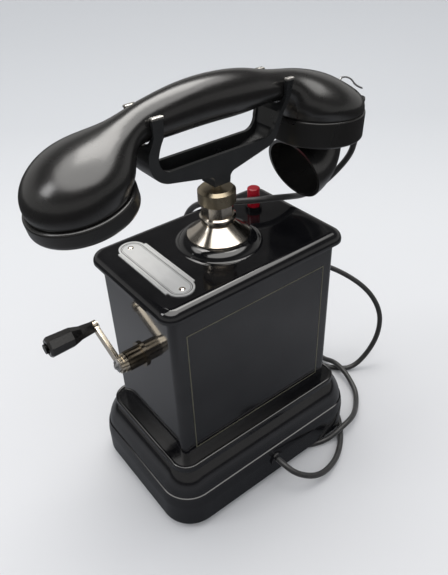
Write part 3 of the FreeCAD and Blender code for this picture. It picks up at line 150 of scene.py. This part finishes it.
def enamel(name, low, high, rough_low, rough_high, coat, peel=0.05, dust=0.03):
    """Black stove enamel: slight depth of tone, smudges, dust specks and orange peel."""
    s = Shader(name, rough_low, coat=coat, coat_rough=0.05)
    tone = s.ramp(s.noise(38.0, 5.0), [(0.35, low), (0.7, high)])
    speck = s.ramp(s.noise(2600.0, 2.0, 0.4), [(0.70, (0, 0, 0)), (0.78, (dust, dust, dust))])
    mix = s.node("ShaderNodeMix", data_type="RGBA", blend_type="ADD")
    mix.inputs["Factor"].default_value = 1.0
    s.join(tone, mix.inputs["A"])
    s.join(speck, mix.inputs["B"])
    s.color(mix.outputs["Result"])
    s.rough(s.ramp(s.noise(24.0, 6.0, 0.65), [(0.35, rough_low), (0.72, rough_high)]))
    s.bump(s.noise(420.0, 2.0, 0.4), peel, 0.0002)
    return s.material


def metal(name, low, high, rough_low, rough_high, brushed=None, grain=700.0, bump=0.04):
    """Plated or bare metal with tarnish in its tone and fine scratches."""
    s = Shader(name, rough_low, metal=1.0)
    s.color(s.ramp(s.noise(60.0, 6.0, 0.6), [(0.3, low), (0.7, high)]))
    s.rough(s.ramp(s.noise(90.0, 5.0, 0.7), [(0.3, rough_low), (0.75, rough_high)]))
    s.bump(s.noise(grain, 3.0, 0.6, brushed), bump, 0.0002)
    return s.material


def moulded(name, low, high, rough_low, rough_high, coat=0.0, bump=0.05):
    """Moulded plastic, rubber or fibre: soft mottling and a fine skin."""
    s = Shader(name, rough_low, coat=coat, coat_rough=0.12)
    s.color(s.ramp(s.noise(55.0, 6.0, 0.6), [(0.35, low), (0.68, high)]))
    s.rough(s.ramp(s.noise(70.0, 5.0, 0.7), [(0.3, rough_low), (0.75, rough_high)]))
    s.bump(s.noise(900.0, 3.0, 0.5), bump, 0.0002)
    return s.material


def bakelite(name, low, high):
    """Polished dark phenolic with rubbed patches, hairline scratches and a faint mottle."""
    s = Shader(name, 0.3, coat=0.7, coat_rough=0.2)
    s.color(s.ramp(s.noise(46.0, 7.0, 0.62), [(0.32, low), (0.7, high)]))
    scratch = s.ramp(s.noise(260.0, 4.0, 0.6, (0.12, 1.0, 1.0)), [(0.44, 0.0), (0.5, 1.0), (0.56, 0.0)])
    s.rough(s.ramp(s.noise(22.0, 3.0, 0.5), [(0.3, 0.24), (0.72, 0.3)]))
    s.bump(scratch, 0.02, 0.00005)
    s.bump(s.noise(700.0, 2.0, 0.4), 0.02, 0.0001)
    return s.material


def winding(name, color, pitch):
    """Close turns of enamelled wire, with painted shade in the darker band between turns."""
    s = Shader(name, 0.3, metal=0.8)
    wave = s.node("ShaderNodeTexWave", bands_direction="DIAGONAL", Scale=pitch, Distortion=0.4)
    s.join(s.place, wave.inputs["Vector"])
    # The dark colour is painted shade in the grooves between the turns
    dark = tuple(v * 0.35 for v in color)
    s.color(s.ramp(wave.outputs["Fac"], [(0.2, dark), (0.7, color)]))
    s.bump(wave.outputs["Fac"], 0.5, 0.0003)
    return s.material


def braid(name):
    """Black braided cotton cover of the cord."""
    s = Shader(name, 0.5, sheen=0.3)
    weave = s.node("ShaderNodeTexVoronoi", Scale=1500.0)
    s.join(s.place, weave.inputs["Vector"])
    s.color(s.ramp(s.noise(300.0, 4.0), [(0.3, (0.006, 0.006, 0.006)), (0.75, (0.02, 0.02, 0.021))]))
    s.rough(s.ramp(s.noise(120.0, 4.0), [(0.3, 0.34), (0.7, 0.5)]))
    s.bump(weave.outputs["Distance"], 0.25, 0.0002)
    return s.material


def silvered(name, low, high):
    """Frosted silvered brass: mostly diffuse, with a brushed sheen."""
    s = Shader(name, 0.36, metal=0.35)
    s.color(s.ramp(s.noise(80.0, 6.0, 0.6, (1.0, 0.3, 1.0)), [(0.3, low), (0.7, high)]))
    s.rough(s.ramp(s.noise(140.0, 5.0, 0.7), [(0.3, 0.3), (0.75, 0.44)]))
    s.bump(s.noise(900.0, 3.0, 0.6, (1.0, 0.08, 1.0)), 0.08, 0.0002)
    return s.material


def pin_look(name):
    """Plated pin, coloured near black at its head, which is sunk in the end of the grip."""
    shift = 0.5
    head_edge_x = -0.124
    fade = 0.004
    s = Shader(name, 0.24, metal=1.0)
    split = s.node("ShaderNodeSeparateXYZ")
    s.join(s.place, split.inputs[0])
    place = s.node("ShaderNodeMath", operation="MULTIPLY_ADD")
    place.inputs[1].default_value = 1.0
    place.inputs[2].default_value = shift
    s.join(split.outputs["X"], place.inputs[0])
    edge = head_edge_x + shift
    s.color(s.ramp(place.outputs[0], [(edge, (0.012, 0.012, 0.012)),
                                      (edge + fade, (0.62, 0.54, 0.42))]))
    s.rough(s.ramp(s.noise(90.0, 5.0), [(0.3, 0.2), (0.7, 0.34)]))
    return s.material


black = enamel("black_enamel", (0.004, 0.004, 0.005), (0.009, 0.009, 0.010), 0.06, 0.13, 0.5)
plinth_black = enamel("plinth_black", (0.003, 0.003, 0.004), (0.006, 0.006, 0.007), 0.08, 0.16, 0.5,
                      0.08, 0.05)
cradle_black = enamel("cradle_black", (0.005, 0.0055, 0.006), (0.011, 0.0115, 0.012), 0.26, 0.4, 0.1)
dark_bakelite = bakelite("bakelite", (0.006, 0.0058, 0.0056), (0.0095, 0.009, 0.0086))
nickel = metal("nickel", (0.62, 0.55, 0.46), (0.78, 0.73, 0.66), 0.1, 0.22)
cap_nickel = metal("cap_nickel", (0.30, 0.25, 0.17), (0.44, 0.38, 0.28), 0.24, 0.38)
worn = metal("worn_tip", (0.75, 0.72, 0.66), (0.9, 0.88, 0.84), 0.2, 0.35)
arm_nickel = metal("arm_nickel", (0.62, 0.54, 0.42), (0.8, 0.74, 0.64), 0.14, 0.28)
bush_nickel = metal("bush_nickel", (0.13, 0.11, 0.08), (0.23, 0.2, 0.16), 0.18, 0.3)
plate_metal = silvered("plate_metal", (0.68, 0.68, 0.67), (0.8, 0.8, 0.79))
plate_ink = moulded("plate_ink", (0.02, 0.02, 0.02), (0.05, 0.05, 0.05), 0.4, 0.6)
pin_metal = pin_look("pin_metal")
gold = metal("gold_line", (0.28, 0.27, 0.2), (0.4, 0.39, 0.3), 0.35, 0.5)
brass = metal("brass", (0.5, 0.36, 0.14), (0.7, 0.53, 0.25), 0.2, 0.34)
steel = metal("steel", (0.4, 0.4, 0.41), (0.58, 0.58, 0.58), 0.24, 0.4)
iron = metal("iron", (0.1, 0.1, 0.1), (0.19, 0.18, 0.17), 0.45, 0.62)
magnet = enamel("magnet_steel", (0.16, 0.015, 0.012), (0.24, 0.03, 0.02), 0.3, 0.42, 0.2)
gong = metal("gong_nickel", (0.66, 0.64, 0.6), (0.8, 0.78, 0.74), 0.12, 0.22)
tin = metal("tin", (0.5, 0.5, 0.49), (0.64, 0.64, 0.62), 0.34, 0.5)
copper = winding("copper", (0.5, 0.2, 0.08), 900.0)
fibre = moulded("fibre", (0.12, 0.05, 0.025), (0.2, 0.1, 0.05), 0.5, 0.65)
rubber = moulded("rubber", (0.012, 0.012, 0.012), (0.02, 0.02, 0.02), 0.6, 0.75)
red = moulded("button_red", (0.30, 0.003, 0.012), (0.40, 0.006, 0.02), 0.16, 0.26, 0.4)
cord_cover = braid("cord_black")

looks = {
    "black_enamel": black, "plinth_black": plinth_black, "gold_line": gold, "nickel": nickel,
    "cap_nickel": cap_nickel, "cradle_black": cradle_black, "worn_tip": worn,
    "bakelite": dark_bakelite, "button_red": red, "plate_metal": plate_metal, "brass": brass,
    "steel": steel, "iron": iron, "magnet_steel": magnet, "copper": copper, "fibre": fibre,
    "gong_nickel": gong, "tin": tin, "cord_black": cord_cover, "rubber": rubber,
}
special = {"crank_arm": arm_nickel, "crank_bush": bush_nickel, "grip_pin": pin_metal}
for part in frame["record"]["subparts"]:
    obj = nodes[part["node"]]
    look = special.get(part["node"], looks[part["material_slot"]])
    obj.data.materials.clear()
    obj.data.materials.append(look)


# Cord

cord_points = [
    (129, -4, 260), (130, -4.5, 250), (130, -4, 239), (128, -2, 226), (117, 6, 209),
    (103, 10, 200.5), (88, 8, 202), (72, 5, 207.5), (56, 6, 211.5), (42, 12, 212),
    (32, 21, 211), (25, 33, 208), (20, 45, 205), (16, 57, 197), (13, 63.5, 183),
    (17, 68, 167), (37, 69, 150), (68, 64, 133), (102, 51, 118), (132, 36, 107),
    (154, 16, 95), (169, -5, 79), (174, -19, 59), (170, -24, 38), (160, -23, 18),
    (144, -19, 2.7), (131, -11, 2.7), (120.5, 5, 2.7), (112, 22, 2.7), (106, 41, 2.7),
    (114, 58, 2.7), (130, 58, 2.7), (137, 42, 2.7), (132, 25, 2.7), (129, 9, 3.5),
    (130.4, -5, 8.6), (128.6, -19, 8.8), (126, -31, 5.5), (121, -43, 2.7), (109, -54.5, 2.7),
    (92, -65.6, 8.8), (73, -68, 8.8), (57, -66, 2.7), (38, -58, 2.7), (26, -41, 2.7),
    (32, -21, 2.7), (54, -11, 2.7), (76, -13, 2.7), (90, -27, 2.7), (90.5, -46, 2.7),
    (79, -63, 2.7), (63, -78, 2.7), (44, -88, 4.5), (23, -91, 8.5), (7.5, -83, 15.5),
    (2, -71.5, 21.5), (2, -61, 21.5),
]
cord_diameter = 0.0048
cord_curve = bpy.data.curves.new("cord_line", "CURVE")
cord_curve.dimensions = "3D"
spline = cord_curve.splines.new("NURBS")
spline.points.add(len(cord_points) - 1)
for point, at in zip(spline.points, cord_points):
    point.co = (at[0] * 0.001, at[1] * 0.001, at[2] * 0.001, 1.0)
spline.order_u = 3
spline.use_endpoint_u = True
spline.resolution_u = 10
cord_curve.bevel_depth = cord_diameter / 2
cord_curve.bevel_resolution = 6
cord_curve.materials.append(cord_cover)
cord = link("cord_line", cord_curve)
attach(cord, "base")
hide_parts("cord")


# Nameplate border: two inked lines, no lettering

def ring_line(name, centre, half_straight, radius, width, height, look):
    """Flat closed line along a slot shape whose long side runs along Y."""
    mesh = bmesh.new()
    inner, outer = [], []
    steps = 24
    for end in (1, -1):
        for k in range(steps + 1):
            a = math.pi * k / steps + (0 if end > 0 else math.pi)
            for ring, r in ((inner, radius - width), (outer, radius)):
                ring.append(mesh.verts.new((centre.x + r * math.cos(a),
                                            centre.y + end * half_straight + r * math.sin(a),
                                            height)))
    for k in range(len(inner)):
        n = (k + 1) % len(inner)
        mesh.faces.new((inner[k], outer[k], outer[n], inner[n]))
    data = bpy.data.meshes.new(name)
    mesh.to_mesh(data)
    data.materials.append(look)
    return link(name, data)


plate_end_radius = 0.0094
line_below_top = 0.00033
line_radii_and_widths = ((0.0080, 0.0005), (0.0068, 0.00025))
plate_low, plate_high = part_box("nameplate")
plate_centre = (Vector(plate_low) + Vector(plate_high)) / 2
line_height = plate_high[2] - line_below_top
plate_straight = (plate_high[1] - plate_low[1]) / 2 - plate_end_radius
for count, (radius, width) in enumerate(line_radii_and_widths):
    border = ring_line("plate_border_" + str(count), plate_centre, plate_straight, radius,
                       width, line_height, plate_ink)
    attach(border, "base")


# Tapered strain relief where the cord leaves the handset

def taper(name, start, end, radii, look):
    """Turned sleeve along a line, with its radii evenly spaced from start to end."""
    start = Vector(start)
    run = Vector(end) - start
    turn = run.to_track_quat("Z", "Y")
    mesh = bmesh.new()
    rings = []
    sides = 40
    for i, radius in enumerate(radii):
        centre = start + run * (i / (len(radii) - 1))
        rings.append([mesh.verts.new(centre + turn @ Vector((
            radius * math.cos(2 * math.pi * k / sides),
            radius * math.sin(2 * math.pi * k / sides), 0))) for k in range(sides)])
    for low, high in zip(rings, rings[1:]):
        for k in range(sides):
            mesh.faces.new((low[k], low[(k + 1) % sides], high[(k + 1) % sides], high[k]))
    mesh.faces.new(list(reversed(rings[0])))
    mesh.faces.new(rings[-1])
    for face in mesh.faces:
        face.smooth = len(face.verts) == 4
    data = bpy.data.meshes.new(name)
    mesh.to_mesh(data)
    data.materials.append(look)
    return link(name, data)


sleeve_reach = 0.0118
sleeve_gap = 0.0002
sleeve_radii = (0.0060, 0.0061, 0.0058, 0.0052, 0.0046, 0.0040, 0.0035, 0.0030, 0.0027)
cord_start = Vector(cord_points[0]) * 0.001
cord_run = (Vector(cord_points[1]) * 0.001 - cord_start).normalized()
sleeve = taper("gland_sleeve", cord_start - cord_run * sleeve_reach,
               cord_start - cord_run * sleeve_gap, sleeve_radii, dark_bakelite)
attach(sleeve, "handset")
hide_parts("handset_gland")


# Floor: pale to the camera, with painted shade darkening it away from the camera; in reflections it
# shows a painted reflection tone, darker away from the object

stage_size = 6.0
floor_mesh = bpy.data.meshes.new("floor")
grid = bmesh.new()
grid.faces.new([grid.verts.new((x * stage_size, y * stage_size, 0.0))
                for x, y in ((-1, -1), (1, -1), (1, 1), (-1, 1))])
grid.to_mesh(floor_mesh)
floor = link("floor", floor_mesh)
stage = Shader("stage_white", 0.7)
stage.set("Specular IOR Level", 0.15)
away = stage.node("ShaderNodeVectorMath", operation="DOT_PRODUCT")
away.inputs[1].default_value = (0.6, 0.8, 0.0)
stage.join(stage.place, away.inputs[0])
# Painted shade: the floor's colour darkens away from the camera
painted_floor_falloff = stage.ramp(away.outputs["Value"], [
    (0.0, (0.735, 0.74, 0.755)), (0.35, (0.70, 0.71, 0.725)), (0.75, (0.62, 0.635, 0.655))])
reach = stage.node("ShaderNodeVectorMath", operation="LENGTH")
stage.join(stage.place, reach.inputs[0])
# Painted reflection: the colour glossy rays see, with painted shade at the object, a lighter ring
# around it and dark far off
painted_floor_reflection = stage.ramp(reach.outputs["Value"], [
    (0.10, (0.13, 0.135, 0.145)), (0.22, (0.27, 0.275, 0.29)), (0.36, (0.2, 0.205, 0.215)),
    (0.52, (0.03, 0.03, 0.032)), (0.8, (0.012, 0.012, 0.013))])
light_path = stage.tree.nodes.new("ShaderNodeLightPath")
choice = stage.node("ShaderNodeMix", data_type="RGBA")
stage.join(light_path.outputs["Is Glossy Ray"], choice.inputs["Factor"])
stage.join(painted_floor_falloff, choice.inputs["A"])
stage.join(painted_floor_reflection, choice.inputs["B"])
stage.color(choice.outputs["Result"])
floor_mesh.materials.append(stage.material)

# World and lamps

sky_color = (0.86, 0.87, 0.89, 1.0)
sky_tint = (1.0, 0.985, 0.96)
world = bpy.data.worlds.new("studio")
bpy.context.scene.world = world
world.use_nodes = True
tree = world.node_tree
background = tree.nodes["Background"]
place = tree.nodes.new("ShaderNodeTexCoord")
split = tree.nodes.new("ShaderNodeSeparateXYZ")
tree.links.new(place.outputs["Generated"], split.inputs[0])
ramp = tree.nodes.new("ShaderNodeValToRGB")
stops = ((0.0, 0.35), (0.34, 0.35), (0.48, 0.08), (0.73, 0.08), (0.8, 3.2), (1.0, 3.2))
while len(ramp.color_ramp.elements) < len(stops):
    ramp.color_ramp.elements.new(0.5)
for element, (at, value) in zip(ramp.color_ramp.elements, stops):
    element.position = at
    element.color = (*(value * tint for tint in sky_tint), 1.0)
tree.links.new(split.outputs["Z"], ramp.inputs["Fac"])
path = tree.nodes.new("ShaderNodeLightPath")
mix = tree.nodes.new("ShaderNodeMix")
mix.data_type = "RGBA"
mix.inputs["A"].default_value = sky_color
tree.links.new(path.outputs["Is Glossy Ray"], mix.inputs["Factor"])
tree.links.new(ramp.outputs["Color"], mix.inputs["B"])
tree.links.new(mix.outputs["Result"], background.inputs["Color"])
background.inputs["Strength"].default_value = 1.0


def lamp(name, place, aim, width, height, power, color=(1, 1, 1)):
    """Rectangular area lamp that faces a point."""
    data = bpy.data.lights.new(name, "AREA")
    data.shape = "RECTANGLE"
    data.size = width
    data.size_y = height
    data.energy = power
    data.color = color
    obj = link(name, data)
    obj.location = place
    obj.rotation_euler = (Vector(aim) - Vector(place)).to_track_quat("-Z", "Y").to_euler()


middle = (0, 0, 0.2)
lamp("overhead", (0.25, 0.35, 1.5), middle, 1.0, 0.6, 7.0, (1.0, 0.97, 0.93))
lamp("window", (-1.3, 0.5, 1.3), middle, 0.5, 0.5, 4.0)


# View transform

bpy.context.scene.view_settings.view_transform = "Standard"
